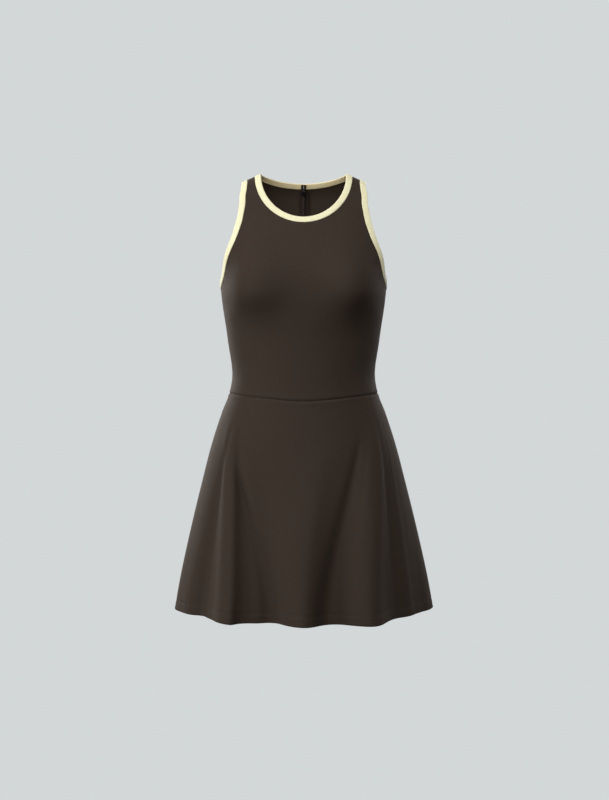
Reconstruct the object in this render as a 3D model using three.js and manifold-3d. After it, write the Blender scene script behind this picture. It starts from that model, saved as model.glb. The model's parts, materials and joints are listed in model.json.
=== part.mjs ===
// Sleeveless A-line sports dress in knitted cloth, filled out as when it is worn.
// Millimetres, +Z up. The front faces -Y. Left and right are the wearer's, so the left side is at +X.
// The origin lies midway between the two shoulder seams, where the shoulders carry the dress.
// A place on the cloth is a turn round the dress, in degrees, and a height z: 0 is centre front,
// 90 the left side, 180 centre back and 270 the right side.

import * as THREE from "three";
import { mergeVertices } from "three/addons/utils/BufferGeometryUtils.js";
import Module from "manifold-3d";

const DEGREE = Math.PI / 180;

// Walls and seams.
const CLOTH_WALL = 1.6;
const BINDING_WALL = 2.6;
const BINDING_WIDTH = 11;
const BINDING_FOLD = 1.2;
const SEAM_GAP = 0.3;

// Heights, from the shoulder line down.
const SHOULDER_TIP_Z = -9.5;
const UNDERARM_Z = -207;
const WAIST_SEAM_Z = -392;
const WAIST_SEAM_DIP = 11;
const WAIST_POINT_ROUNDING = 0.15;
const HEM_Z = -778;
const HEM_DEPTH = 18;
const HEM_WALL = 2.8;

// Level sections of the filled dress: half its width at the sides, its reach forward and back from
// the side seams, and how square its corners are.
const SECTIONS = [
  { z: 0, half: 80, front: 24, back: 32, square: 0 },
  { z: -10, half: 101.5, front: 33, back: 42, square: 0 },
  { z: -30, half: 144, front: 43, back: 57, square: 0 },
  { z: -50, half: 173, front: 49, back: 66, square: 0 },
  { z: -75, half: 181, front: 57, back: 75, square: 0 },
  { z: -100, half: 176, front: 68, back: 82, square: 0 },
  { z: -125, half: 169, front: 81, back: 88, square: 0 },
  { z: -150, half: 160.5, front: 93, back: 92, square: 0 },
  { z: -175, half: 151, front: 102, back: 94, square: 0 },
  { z: -207, half: 143.5, front: 105, back: 94, square: 0 },
  { z: -255, half: 140, front: 101.5, back: 90, square: 0.06 },
  { z: -300, half: 135, front: 97, back: 84, square: 0.1 },
  { z: -355, half: 127.5, front: 96, back: 78, square: 0.12 },
  { z: -392, half: 132.5, front: 97.5, back: 82, square: 0.12 },
  { z: -427, half: 146, front: 101, back: 91, square: 0.12 },
  { z: -484, half: 164, front: 111, back: 109, square: 0.12 },
  { z: -542, half: 178.5, front: 122, back: 122, square: 0.06 },
  { z: -628, half: 198.5, front: 138, back: 137, square: -0.02 },
  { z: -715, half: 216.5, front: 150, back: 150, square: -0.08 },
  { z: -778, half: 227, front: 157, back: 157, square: -0.12 },
];

// The fullness over each bust point. It fades out above, below, aside and behind the side seams.
const BUST = { x: 86, z: -209, fullness: 25.5, across: 43, above: 70, below: 43.5, behind: 30 };

// The neck seam: an ellipse from shoulder to shoulder in front, and a shallower one behind.
const NECK = { half: 87, z: -3, frontDrop: 87, backDrop: 17.5, frontBend: 1, backBend: 1.7 };

// The armhole seam in side view, from the shoulder down the front, and up the back again.
const ARMHOLE = [
  { y: 0, z: SHOULDER_TIP_Z },
  { y: -15.5, z: -14.5 },
  { y: -29.3, z: -28 },
  { y: -39.4, z: -50 },
  { y: -45.4, z: -72 },
  { y: -51.4, z: -95 },
  { y: -57.2, z: -128 },
  { y: -52.7, z: -160 },
  { y: -39, z: -189 },
  { y: 0, z: UNDERARM_Z },
  { y: 38.5, z: -189 },
  { y: 57, z: -150 },
  { y: 64, z: -110 },
  { y: 63, z: -91 },
  { y: 60.5, z: -72 },
  { y: 53.5, z: -50 },
  { y: 40.5, z: -28 },
  { y: 21, z: -14.5 },
];

// Soft folds of the skirt: the turn of each ridge at the hem, how much further round it lies at its
// top, how far it rises at the hem, half its width before and after its ridge in degrees, and the
// height where it begins.
const FOLDS = [
  { at: -84, lean: 0, rise: 4, before: 8, after: 8, top: -430 },
  { at: -54, lean: 7, rise: -6.5, before: 6, after: 8, top: -435 },
  { at: -30.7, lean: -27, rise: 27, before: 10, after: 5.6, top: -392 },
  { at: -12, lean: -25, rise: -22, before: 6.7, after: 8.5, top: -450 },
  { at: -1, lean: 10.5, rise: 28.5, before: 16.5, after: 9, top: -478 },
  { at: 28, lean: 34, rise: 38, before: 8.5, after: 9, top: -392 },
  { at: 62, lean: 3, rise: -6, before: 9.5, after: 11, top: -500 },
  { at: 72.5, lean: 6, rise: -4, before: 8, after: 7, top: -480 },
  { at: 94, lean: 0, rise: 6, before: 9, after: 9, top: -430 },
  { at: 121, lean: -12, rise: 19, before: 10.5, after: 7, top: -430 },
  { at: 151, lean: -9, rise: 22, before: 7.5, after: 11, top: -420 },
  { at: 181, lean: 4, rise: 19, before: 10, after: 7, top: -445 },
  { at: 210, lean: 12, rise: 23, before: 11, after: 7, top: -415 },
  { at: 241, lean: 13, rise: 18, before: 7.5, after: 10.5, top: -435 },
];
const FOLD_ONSET = 1.25;
const FOLD_SWEEP = 1.7;

// How finely each piece is divided.
const STEPS = {
  front: { side: 8, centre: 5, neck: 11 },
  back: { side: 8, centre: 12, neck: 7 },
  bodiceAcross: 10,
  skirtRound: 56,
  skirtDown: 11,
};

// The concealed zip at centre back. Depths are from the middle of the cloth to the middle of the piece.
const ZIP_LENGTH = 200;
const TAPE = { wall: 1, slit: 1, width: 9, depth: 2, widthAtNeck: 4, depthAtNeck: 2.2, below: 12 };
const COIL = { width: 5, innerWidth: 3.5, thick: 2, depth: 3.8 };
const SLIDER = { below: 6, width: 6.4, long: 9, thick: 3.2, depth: 4.7, neckWidth: 1, neckLong: 3.2 };
const SLOT = { room: 0.4, deep: 6 };
const BRIDGE = { width: 1.8, long: 5.8, top: 5.2, base: 1.2, holeLong: 3, holeLow: 1.7, holeTop: 4.3 };
const PULL = { pivot: 3.1, wall: 1, width: 5.4, long: 24, bar: 1.2, window: 3.3, windowWidth: 3, tilt: -6 };
const STOP = { width: 5.6, long: 3.4, thick: 2.6, depth: 4 };

// One side of the slider's shield, up from its lower end, as shares of half its width and length.
const SHIELD_SIDE = [
  { wide: 0.7, high: -1 },
  { wide: 1, high: -0.3 },
  { wide: 1, high: 0.5 },
  { wide: 0.5, high: 1 },
];

// One side of the pull tab, down from its top, as shares of half its width and of its length.
const PULL_SIDE = [
  { wide: 1, down: 0 },
  { wide: 1, down: 0.21 },
  { wide: 0.8, down: 0.32 },
  { wide: 0.72, down: 0.5 },
  { wide: 0.86, down: 0.75 },
];

const COLOURS = {
  cloth: new THREE.MeshStandardMaterial({ color: "#3c332d", roughness: 0.8, metalness: 0 }),
  binding: new THREE.MeshStandardMaterial({ color: "#f4edc4", roughness: 0.85, metalness: 0 }),
  tape: new THREE.MeshStandardMaterial({ color: "#2b2421", roughness: 0.8, metalness: 0 }),
  metal: new THREE.MeshStandardMaterial({ color: "#6c6f74", roughness: 0.4, metalness: 1 }),
};

// One column of the section table at height z, on a smooth curve through its rows.
function section(name, z) {
  const last = SECTIONS.length - 2;
  const found = SECTIONS.findIndex((row, i) => i > 0 && z >= row.z) - 1;
  const i = found < 0 ? last : found;
  const [a, b] = [SECTIONS[i], SECTIONS[i + 1]];
  const before = SECTIONS[Math.max(i - 1, 0)];
  const after = SECTIONS[Math.min(i + 2, last + 1)];
  const span = b.z - a.z;
  const slopeA = (b[name] - before[name]) / (b.z - before.z);
  const slopeB = (after[name] - a[name]) / (after.z - a.z);
  const t = (z - a.z) / span;
  if (t < 0) return a[name] + slopeA * (z - a.z);
  if (t > 1) return b[name] + slopeB * (z - b.z);
  const [t2, t3] = [t * t, t * t * t];
  const ends = (2 * t3 - 3 * t2 + 1) * a[name] + (3 * t2 - 2 * t3) * b[name];
  return ends + ((t3 - 2 * t2 + t) * slopeA + (t3 - t2) * slopeB) * span;
}

function bust(x, y, z) {
  const aside = (Math.abs(x) - BUST.x) / BUST.across;
  const along = (z - BUST.z) / (z > BUST.z ? BUST.above : BUST.below);
  const behind = Math.max(0, y) / BUST.behind;
  return BUST.fullness * Math.exp(-aside * aside - along * along - behind * behind);
}

// The difference of two turns, from -180 to 180 degrees.
function turnBetween(a, b) {
  return ((((a - b) % 360) + 540) % 360) - 180;
}

function folds(turn, z) {
  let rise = 0;
  for (const fold of FOLDS) {
    const down = (fold.top - z) / (fold.top - HEM_Z);
    if (down <= 0) continue;
    const ridge = fold.at + fold.lean * Math.max(0, 1 - down) ** FOLD_SWEEP;
    const beyond = turnBetween(turn, ridge);
    const aside = beyond / (beyond < 0 ? fold.before : fold.after);
    rise += fold.rise * down ** FOLD_ONSET * Math.exp(-aside * aside);
  }
  return rise;
}

// The middle of the cloth at a turn and a height.
function form(turn, z) {
  const across = Math.sin(turn * DEGREE);
  const ahead = Math.cos(turn * DEGREE);
  const half = section("half", z);
  const reach = section(ahead > 0 ? "front" : "back", z);
  const square = 1 + section("square", z) * across * across;
  const point = new THREE.Vector3(half * across, -reach * ahead * square, z);
  const outward = new THREE.Vector3(across / half, -ahead / reach, 0).normalize();
  return point.addScaledVector(outward, bust(point.x, point.y, z) + folds(turn, z));
}

function normal(turn, z) {
  const small = 0.2;
  const round = form(turn + small, z).sub(form(turn - small, z));
  const up = form(turn, z + small).sub(form(turn, z - small));
  return round.cross(up).normalize();
}

// A point moved out from the middle of the cloth, or in where out is negative.
function lifted({ turn, z }, out) {
  return form(turn, z).addScaledVector(normal(turn, z), out);
}

function mix(a, b, t) {
  return { turn: a.turn + (b.turn - a.turn) * t, z: a.z + (b.z - a.z) * t };
}

// Places at even distances along a path on the cloth, both ends included.
function evenly(path, count) {
  const fine = 400;
  const places = Array.from({ length: fine + 1 }, (_, i) => path(i / fine));
  const points = places.map(({ turn, z }) => form(turn, z));
  const along = [0];
  for (let i = 1; i <= fine; i++) along.push(along[i - 1] + points[i].distanceTo(points[i - 1]));
  return Array.from({ length: count + 1 }, (_, k) => {
    const target = (along[fine] * k) / count;
    const i = Math.max(1, along.findIndex((length) => length >= target - 1e-9));
    return mix(places[i - 1], places[i], (target - along[i - 1]) / (along[i] - along[i - 1]));
  });
}

// The turn where the cloth has this x, or this y, at height z. Both lie at or above the underarm.
function turnAtX(x, z, isBack) {
  const turn = Math.asin(THREE.MathUtils.clamp(x / section("half", z), -1, 1)) / DEGREE;
  return isBack ? 180 - turn : turn;
}

function turnAtY(y, z) {
  return Math.acos(THREE.MathUtils.clamp(-y / section(y < 0 ? "front" : "back", z), -1, 1)) / DEGREE;
}

// The neck seam on the left side, from centre front or centre back at 0 to the shoulder at 1.
function neckSeam(isBack) {
  const [drop, bend] = isBack ? [NECK.backDrop, NECK.backBend] : [NECK.frontDrop, NECK.frontBend];
  return (t) => {
    const angle = (1 - (1 - t) * (1 - t)) * 90 * DEGREE;
    const z = NECK.z - drop * Math.max(0, Math.cos(angle)) ** bend;
    return { turn: turnAtX(NECK.half * Math.sin(angle), z, isBack), z };
  };
}

const armholeCurve = new THREE.CatmullRomCurve3(
  ARMHOLE.map(({ y, z }) => new THREE.Vector3(0, y, z)),
  true,
);

// The left armhole seam: 0 and 1 at the shoulder, 0.5 at the underarm, the front half first.
function armholeSeam(t) {
  const { y, z } = armholeCurve.getPoint(t);
  return { turn: turnAtY(y, z), z };
}

// The waist seam dips to a soft point at centre front and is level behind.
function waistSeam(turn) {
  if (Math.cos(turn * DEGREE) <= 0) return WAIST_SEAM_Z;
  const aside = Math.hypot(Math.sin(turn * DEGREE), WAIST_POINT_ROUNDING);
  return WAIST_SEAM_Z - WAIST_SEAM_DIP * Math.max(0, (1 - aside) / (1 - WAIST_POINT_ROUNDING));
}

// A mesh from corner points and triangles, its faces turned out.
function solid(name, points, triangles, material) {
  let volume = 0;
  for (const [a, b, c] of triangles) {
    volume += points[a].dot(new THREE.Vector3().crossVectors(points[b], points[c]));
  }
  const turned = volume < 0 ? triangles.map(([a, b, c]) => [a, c, b]) : triangles;
  const geometry = new THREE.BufferGeometry().setFromPoints(points).setIndex(turned.flat());
  geometry.computeVertexNormals();
  const mesh = new THREE.Mesh(geometry, material);
  mesh.name = name;
  return mesh;
}

// A grid of triangles over rows of places, which may share their places with other rows.
function grid(rows) {
  const triangles = [];
  for (let j = 1; j < rows.length; j++) {
    for (let i = 1; i < rows[j].length; i++) {
      const [a, b, c, d] = [rows[j - 1][i - 1], rows[j - 1][i], rows[j][i], rows[j][i - 1]];
      triangles.push([a, b, c], [a, c, d]);
    }
  }
  return triangles;
}

// A closed wall over triangles of places: outer and inner give the two points of a place, and each
// edge that has one triangle only gets a rim.
function wall(name, triangles, outer, inner, material) {
  const numbers = new Map();
  const points = [];
  const numberOf = (place) => {
    const key = `${place.turn.toFixed(4)} ${place.z.toFixed(4)}`;
    if (!numbers.has(key)) {
      numbers.set(key, points.length);
      points.push(outer(place), inner(place));
    }
    return numbers.get(key);
  };
  const faces = triangles.map((corners) => corners.map(numberOf));
  const edges = new Set(faces.flatMap(([a, b, c]) => [`${a} ${b}`, `${b} ${c}`, `${c} ${a}`]));
  const closed = faces.flatMap(([a, b, c]) => [[a, b, c], [a + 1, c + 1, b + 1]]);
  for (const edge of edges) {
    const [a, b] = edge.split(" ").map(Number);
    if (!edges.has(`${b} ${a}`)) closed.push([b, a, a + 1], [b, a + 1, b + 1]);
  }
  return solid(name, points, closed, material);
}

// A wall of even thickness over triangles of places on the cloth.
function clothPanel(name, triangles) {
  const half = CLOTH_WALL / 2;
  return wall(name, triangles, (p) => lifted(p, half), (p) => lifted(p, -half), COLOURS.cloth);
}

// Draws a place back from the side and shoulder seams by half the seam gap.
function offSeam({ turn, z }, isBack) {
  const back = SEAM_GAP / 2 / section(isBack ? "back" : "front", z) / DEGREE;
  return { turn: isBack ? Math.max(turn, 90 + back) : Math.min(turn, 90 - back), z };
}

function upward(turn, from, to, count) {
  return evenly((t) => ({ turn, z: from + (to - from) * t }), count);
}

// Places up the centre of a bodice panel, from the waist to the neck seam, at this turn.
function centreLine(turn, isBack) {
  const steps = isBack ? STEPS.back : STEPS.front;
  const neckZ = NECK.z - (isBack ? NECK.backDrop : NECK.frontDrop);
  return [
    ...upward(turn, waistSeam(turn) + SEAM_GAP / 2, UNDERARM_Z, steps.side),
    ...upward(turn, UNDERARM_Z, neckZ, steps.centre).slice(1),
  ];
}

// The left half of a bodice panel, in rows from the waist to the shoulder. Each row runs from the
// centre line or the neck seam to the side seam or the armhole seam.
function bodiceHalf(isBack) {
  const steps = isBack ? STEPS.back : STEPS.front;
  const across = STEPS.bodiceAcross;
  const centre = isBack ? 180 - SEAM_GAP / 2 / section("half", WAIST_SEAM_Z) / DEGREE : 0;
  const waist = (turn) => waistSeam(turn) + SEAM_GAP / 2;
  const neck = evenly(neckSeam(isBack), steps.neck);
  const inner = [...centreLine(centre, isBack), ...neck.slice(1)];
  const armhole = evenly((t) => armholeSeam(isBack ? 0.5 + t / 2 : 0.5 - t / 2), steps.centre + steps.neck);
  const outer = [...upward(90, waist(90), UNDERARM_Z, steps.side), ...armhole.slice(1)];
  return inner.map((place, j) =>
    Array.from({ length: across + 1 }, (_, i) => {
      const here = mix(place, outer[j], i / across);
      if (j === 0) here.z = waist(here.turn);
      return offSeam(here, isBack);
    }),
  );
}

function mirrored(rows) {
  return rows.map((row) => row.map(({ turn, z }) => ({ turn: -turn, z })).reverse());
}

function bodicePanels() {
  const front = bodiceHalf(false);
  const back = bodiceHalf(true);
  return [
    clothPanel("front_bodice", [...grid(front), ...grid(mirrored(front))]),
    clothPanel("back_bodice_left", grid(back)),
    clothPanel("back_bodice_right", grid(mirrored(back))),
  ];
}

// A skirt panel from one side seam to the other, thicker inside where the hem is turned up.
function skirtPanel(name, firstTurn) {
  const turnedUp = HEM_DEPTH / (WAIST_SEAM_Z - HEM_Z);
  const step = 0.004;
  const shares = [0, turnedUp / 2, turnedUp - step, turnedUp + step];
  const left = 1 - turnedUp - step;
  for (let j = 1; j <= STEPS.skirtDown; j++) shares.push(turnedUp + step + (left * j) / STEPS.skirtDown);
  const hemTop = shares[2];
  const rows = shares.map((share) =>
    Array.from({ length: STEPS.skirtRound + 1 }, (_, i) => {
      const turn = firstTurn + (180 * i) / STEPS.skirtRound;
      const z = HEM_Z + (waistSeam(turn) - SEAM_GAP / 2 - HEM_Z) * share;
      const gap = SEAM_GAP / 2 / section("front", z) / DEGREE;
      const clear = THREE.MathUtils.clamp(turn, firstTurn + gap, firstTurn + 180 - gap);
      return { turn: clear, z, isHem: share <= hemTop };
    }),
  );
  const outer = (place) => lifted(place, CLOTH_WALL / 2);
  const inner = (place) => lifted(place, CLOTH_WALL / 2 - (place.isHem ? HEM_WALL : CLOTH_WALL));
  return wall(name, grid(rows), outer, inner, COLOURS.cloth);
}

// Sweeps a section along rings of points, closed on itself or ended by two flat caps.
function sweep(name, rings, isClosed, material) {
  const around = rings[0].length;
  const triangles = [];
  const last = isClosed ? rings.length : rings.length - 1;
  for (let k = 0; k < last; k++) {
    const next = (k + 1) % rings.length;
    for (let i = 0; i < around; i++) {
      const [a, b] = [k * around + i, k * around + ((i + 1) % around)];
      const [c, d] = [next * around + ((i + 1) % around), next * around + i];
      triangles.push([a, b, c], [a, c, d]);
    }
  }
  if (!isClosed) {
    const end = (rings.length - 1) * around;
    for (let i = 2; i < around; i++) triangles.push([0, i, i - 1], [end, end + i - 1, end + i]);
  }
  return solid(name, rings.flat(), triangles, material);
}

// A folded binding that runs on from the cloth's edge, along places on the cloth.
// toOpening is 1 if the opening lies on the left of the path, seen from outside, and -1 otherwise.
function binding(name, places, isClosed, toOpening) {
  const half = BINDING_WALL / 2;
  const [near, far] = [SEAM_GAP, SEAM_GAP + BINDING_WIDTH];
  const bend = far - BINDING_FOLD;
  const profile = [
    [near, -half], [near, half], [bend, half], [far, half / 2], [far, -half / 2], [bend, -half],
  ];
  const count = places.length;
  const points = places.map(({ turn, z }) => form(turn, z));
  const rings = places.map(({ turn, z }, k) => {
    const before = points[isClosed ? (k + count - 1) % count : Math.max(k - 1, 0)];
    const after = points[isClosed ? (k + 1) % count : Math.min(k + 1, count - 1)];
    const out = normal(turn, z);
    const across = out.clone().cross(after.clone().sub(before)).normalize().multiplyScalar(toOpening);
    return profile.map(([w, n]) => points[k].clone().addScaledVector(across, w).addScaledVector(out, n));
  });
  return sweep(name, rings, isClosed, COLOURS.binding);
}

// The neck binding runs from the left side of the zip, round the front, to its right side.
function neckBinding() {
  const back = evenly(neckSeam(true), STEPS.back.neck);
  const endGap = 0.8;
  back[0].turn = 180 - Math.asin(endGap / section("half", back[0].z)) / DEGREE;
  const front = evenly(neckSeam(false), STEPS.front.neck);
  const left = [...back, ...front.slice(0, -1).reverse()];
  const right = left.slice(0, -1).reverse().map(({ turn, z }) => ({ turn: -turn, z }));
  return binding("neck_binding", [...left, ...right], false, -1);
}

function armholeBinding(name, side) {
  const front = evenly((t) => armholeSeam(0.5 - t / 2), STEPS.front.centre + STEPS.front.neck).reverse();
  const back = evenly((t) => armholeSeam(0.5 + t / 2), STEPS.back.centre + STEPS.back.neck);
  const places = [...front.slice(0, -1), ...back.slice(0, -1)];
  return binding(name, places.map(({ turn, z }) => ({ turn: side * turn, z })), true, side);
}

// The centre back seam as the panels are built, from the neck down, with the distance to each place.
const backSeam = centreLine(180, true).reverse();
const backDistances = backSeam.reduce((found, { z }, i) => {
  if (i === 0) return [0];
  return [...found, found[i - 1] + form(180, z).distanceTo(form(180, backSeam[i - 1].z))];
}, []);

// A point of the zip: x to the side of the seam, a distance down from the neck seam and some way
// out from the middle of the cloth. Above the neck seam it follows the straight binding.
function onSeam(x, down, out) {
  const at = (z) => lifted({ turn: 180 - Math.asin(x / section("half", z)) / DEGREE, z }, out);
  const neckZ = backSeam[0].z;
  if (down < 0) {
    const up = new THREE.Vector3(1, 0, 0).cross(normal(180, neckZ));
    return at(neckZ).addScaledVector(up, -down);
  }
  const i = Math.max(1, backDistances.findIndex((distance) => distance >= down));
  const share = (down - backDistances[i - 1]) / (backDistances[i] - backDistances[i - 1]);
  return at(backSeam[i - 1].z).lerp(at(backSeam[i].z), share);
}

// The frame of a hard piece on the seam: X across, Y out of the back, Z up along it.
function seamFrame(down) {
  const across = new THREE.Vector3(1, 0, 0);
  const up = onSeam(0, down - 1, 0).sub(onSeam(0, down + 1, 0)).normalize();
  const out = new THREE.Vector3().crossVectors(up, across);
  return new THREE.Matrix4().makeBasis(across, out, up).setPosition(onSeam(0, down, 0));
}

// Distances down the seam from one to another, with the rows of the back panels between them.
function seamSteps(from, to) {
  return [from, ...backDistances.filter((distance) => distance > from + 1 && distance < to - 1), to];
}

const wasm = await Module();
wasm.setup();

// A geometry as a solid for cutting and joining, and back.
function toManifold(geometry) {
  const bare = geometry.clone();
  bare.deleteAttribute("normal");
  bare.deleteAttribute("uv");
  const merged = mergeVertices(bare, 1e-4);
  const triVerts = new Uint32Array(merged.index.array);
  return new wasm.Manifold(
    new wasm.Mesh({ numProp: 3, vertProperties: merged.attributes.position.array, triVerts }),
  );
}

function toMesh(name, manifold, material) {
  const { vertProperties, triVerts } = manifold.getMesh();
  const geometry = new THREE.BufferGeometry();
  geometry.setAttribute("position", new THREE.BufferAttribute(new Float32Array(vertProperties), 3));
  geometry.setIndex(new THREE.BufferAttribute(new Uint32Array(triVerts), 1));
  geometry.computeVertexNormals();
  const mesh = new THREE.Mesh(geometry, material);
  mesh.name = name;
  return mesh;
}

function block(width, thick, long, y, z = 0) {
  return new THREE.BoxGeometry(width, thick, long).translate(0, y, z);
}

// An outline in X and Z, of even thickness about y.
function plate(shape, thick, y) {
  const geometry = new THREE.ExtrudeGeometry(shape, { depth: thick, bevelEnabled: false, curveSegments: 6 });
  return geometry.rotateX(Math.PI / 2).translate(0, y + thick / 2, 0);
}

// One tape of the zip lies behind the back, its end folded narrow on the neck binding.
// side is 1 on the left.
function zipTape(name, side, bottom) {
  const rings = seamSteps(-BINDING_WIDTH, bottom).map((down) => {
    const isAtNeck = down <= 0;
    const depth = isAtNeck ? TAPE.depthAtNeck : TAPE.depth;
    const [near, far] = [depth - TAPE.wall / 2, depth + TAPE.wall / 2];
    const edge = TAPE.slit + (isAtNeck ? TAPE.widthAtNeck : TAPE.width);
    const middle = (TAPE.slit + edge) / 2;
    const profile = [
      [TAPE.slit, near], [middle, near], [edge, near], [edge, far], [middle, far], [TAPE.slit, far],
    ];
    return profile.map(([x, depthHere]) => onSeam(side * x, down, -depthHere));
  });
  return sweep(name, rings, false, COLOURS.tape);
}

// The closed coil: a flat bar along the inside of the tapes.
function zipCoil(top, bottom) {
  const [x, inner] = [COIL.width / 2, COIL.innerWidth / 2];
  const [near, far] = [COIL.depth - COIL.thick / 2, COIL.depth + COIL.thick / 2];
  const profile = [[-x, near], [-inner, far], [inner, far], [x, near]];
  const rings = seamSteps(top, bottom).map((down) =>
    profile.map(([across, depth]) => onSeam(across, down, -depth)),
  );
  return sweep("zip_coil", rings, false, COLOURS.tape);
}

// The slider: a body on the coil inside, a neck through the seam, and a bridge for the pull outside.
function zipSlider() {
  const right = SHIELD_SIDE.map(({ wide, high }) => [(wide * SLIDER.width) / 2, (high * SLIDER.long) / 2]);
  const left = right.map(([x, z]) => [-x, z]).reverse();
  const shield = new THREE.Shape([...right, ...left].map(([x, z]) => new THREE.Vector2(x, z)));
  const innerFace = SLIDER.depth - SLIDER.thick / 2;
  const sunk = 0.2;
  const neckThick = innerFace + BRIDGE.base + 2 * sunk;
  const neck = block(SLIDER.neckWidth, neckThick, SLIDER.neckLong, (BRIDGE.base - innerFace) / 2);
  const arch = block(BRIDGE.width, BRIDGE.top - BRIDGE.base, BRIDGE.long, (BRIDGE.top + BRIDGE.base) / 2);
  const holeMiddle = (BRIDGE.holeLow + BRIDGE.holeTop) / 2;
  const hole = block(BRIDGE.width * 2, BRIDGE.holeTop - BRIDGE.holeLow, BRIDGE.holeLong, holeMiddle);
  const made = toManifold(plate(shield, SLIDER.thick, -SLIDER.depth))
    .add(toManifold(neck))
    .add(toManifold(arch).subtract(toManifold(hole)));
  return toMesh("zip_slider", made, COLOURS.metal);
}

// The pull tab, hanging from its bar at the origin: a drop-shaped plate with a window at the top.
function zipPull() {
  const [w, top, bottom] = [PULL.width / 2, PULL.bar / 2, PULL.bar / 2 - PULL.long];
  const right = PULL_SIDE.map(({ wide, down }) => [w * wide, top - PULL.long * down]);
  const cornerStep = 22.5;
  for (let angle = 0; angle < 90; angle += cornerStep) {
    right.push([w * Math.cos(angle * DEGREE), bottom + w - w * Math.sin(angle * DEGREE)]);
  }
  const left = right.map(([x, z]) => [-x, z]).reverse();
  const outline = new THREE.Shape([...right, [0, bottom], ...left].map(([x, z]) => new THREE.Vector2(x, z)));
  const [x, high, low] = [PULL.windowWidth / 2, -PULL.bar / 2, -PULL.bar / 2 - PULL.window];
  const corners = [[-x, low], [x, low], [x, high], [-x, high]];
  outline.holes.push(new THREE.Path(corners.map(([a, b]) => new THREE.Vector2(a, b))));
  const mesh = new THREE.Mesh(plate(outline, PULL.wall, 0), COLOURS.metal);
  mesh.name = "zip_pull";
  mesh.position.set(0, PULL.pivot, 0);
  mesh.rotation.x = PULL.tilt * DEGREE;
  return mesh;
}

// Cuts room for the slider's neck out of the edge of a back panel.
function withNeckSlot(panel, place) {
  const [width, long] = [SLIDER.neckWidth + 2 * SLOT.room, SLIDER.neckLong + 2 * SLOT.room];
  const slot = block(width, SLOT.deep, long, 0).applyMatrix4(place);
  const cut = toManifold(panel.geometry).subtract(toManifold(slot));
  return toMesh(panel.name, cut, panel.material);
}

function dress() {
  const group = new THREE.Group();
  const sliderFrame = seamFrame(SLIDER.below);
  const coilTop = SLIDER.below + SLIDER.long / 2 + 2 * SEAM_GAP;
  const coilBottom = coilTop + ZIP_LENGTH;
  const stopAt = coilBottom + STOP.long / 2 + SEAM_GAP;
  const tapeBottom = stopAt + STOP.long / 2 + TAPE.below;

  const panels = bodicePanels().map((panel) =>
    panel.name.startsWith("back") ? withNeckSlot(panel, sliderFrame) : panel,
  );
  group.add(...panels);
  group.add(skirtPanel("front_skirt", -90), skirtPanel("back_skirt", 90));
  group.add(neckBinding());
  group.add(armholeBinding("armhole_binding_left", 1), armholeBinding("armhole_binding_right", -1));
  group.add(zipTape("zip_tape_left", 1, tapeBottom), zipTape("zip_tape_right", -1, tapeBottom));
  group.add(zipCoil(coilTop, coilBottom));

  const sliderGroup = new THREE.Group();
  sliderGroup.applyMatrix4(sliderFrame);
  sliderGroup.add(zipSlider(), zipPull());
  const stopGroup = new THREE.Group();
  stopGroup.applyMatrix4(seamFrame(stopAt));
  const stop = new THREE.Mesh(block(STOP.width, STOP.thick, STOP.long, -STOP.depth), COLOURS.metal);
  stop.name = "zip_stop";
  stopGroup.add(stop);
  group.add(sliderGroup, stopGroup);
  return group;
}

export default dress();
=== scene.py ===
import json
import math

import bpy
import numpy as np
from bpy.props import FloatProperty, FloatVectorProperty, PointerProperty
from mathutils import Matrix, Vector

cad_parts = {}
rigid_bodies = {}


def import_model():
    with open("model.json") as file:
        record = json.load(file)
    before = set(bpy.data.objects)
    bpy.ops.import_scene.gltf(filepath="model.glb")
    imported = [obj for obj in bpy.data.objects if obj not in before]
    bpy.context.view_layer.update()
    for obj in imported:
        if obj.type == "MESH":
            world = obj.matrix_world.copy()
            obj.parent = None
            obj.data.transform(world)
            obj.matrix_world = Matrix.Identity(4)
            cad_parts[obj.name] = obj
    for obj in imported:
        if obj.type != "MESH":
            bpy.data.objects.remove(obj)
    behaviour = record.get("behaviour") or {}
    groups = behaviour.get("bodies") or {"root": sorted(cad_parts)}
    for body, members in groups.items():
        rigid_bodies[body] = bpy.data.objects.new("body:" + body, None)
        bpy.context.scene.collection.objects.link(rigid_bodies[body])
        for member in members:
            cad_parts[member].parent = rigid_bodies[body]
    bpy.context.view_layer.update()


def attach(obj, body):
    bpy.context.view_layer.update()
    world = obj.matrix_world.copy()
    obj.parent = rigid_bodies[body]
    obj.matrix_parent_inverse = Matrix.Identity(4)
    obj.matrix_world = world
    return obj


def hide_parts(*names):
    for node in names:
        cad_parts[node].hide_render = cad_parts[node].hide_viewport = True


# A sleeveless sports dress in knitted cloth: the finish of every piece, on the frame of its solids.
# Metres, +Z up. The front faces -Y, and the wearer's left is at +X. A place on the cloth is a turn
# round the dress, in degrees, and a height z: 0 is centre front, 90 the left side, 180 centre back.

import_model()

bl_info = {
    "name": "Sleeveless sports dress",
    "version": (1, 0, 0),
    "blender": (4, 5, 0),
    "location": "View3D > Sidebar > Dress",
    "description": "Sews the cloth, bindings, stitching and zip of a sports dress on its frame",
    "category": "Object",
}

MM = 0.001

# Seams and edges, as the solids have them. Edges that are sewn together here stand only SEWN_GAP
# apart, so that no light shows between them.
SEAM_GAP = 0.3 * MM
SEWN_GAP = 0.03 * MM
UNDERARM_Z = -207 * MM
WAIST_SEAM_Z = -392 * MM
WAIST_SEAM_DIP = 11 * MM
WAIST_POINT_ROUNDING = 0.15
HEM_Z = -778 * MM

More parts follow.
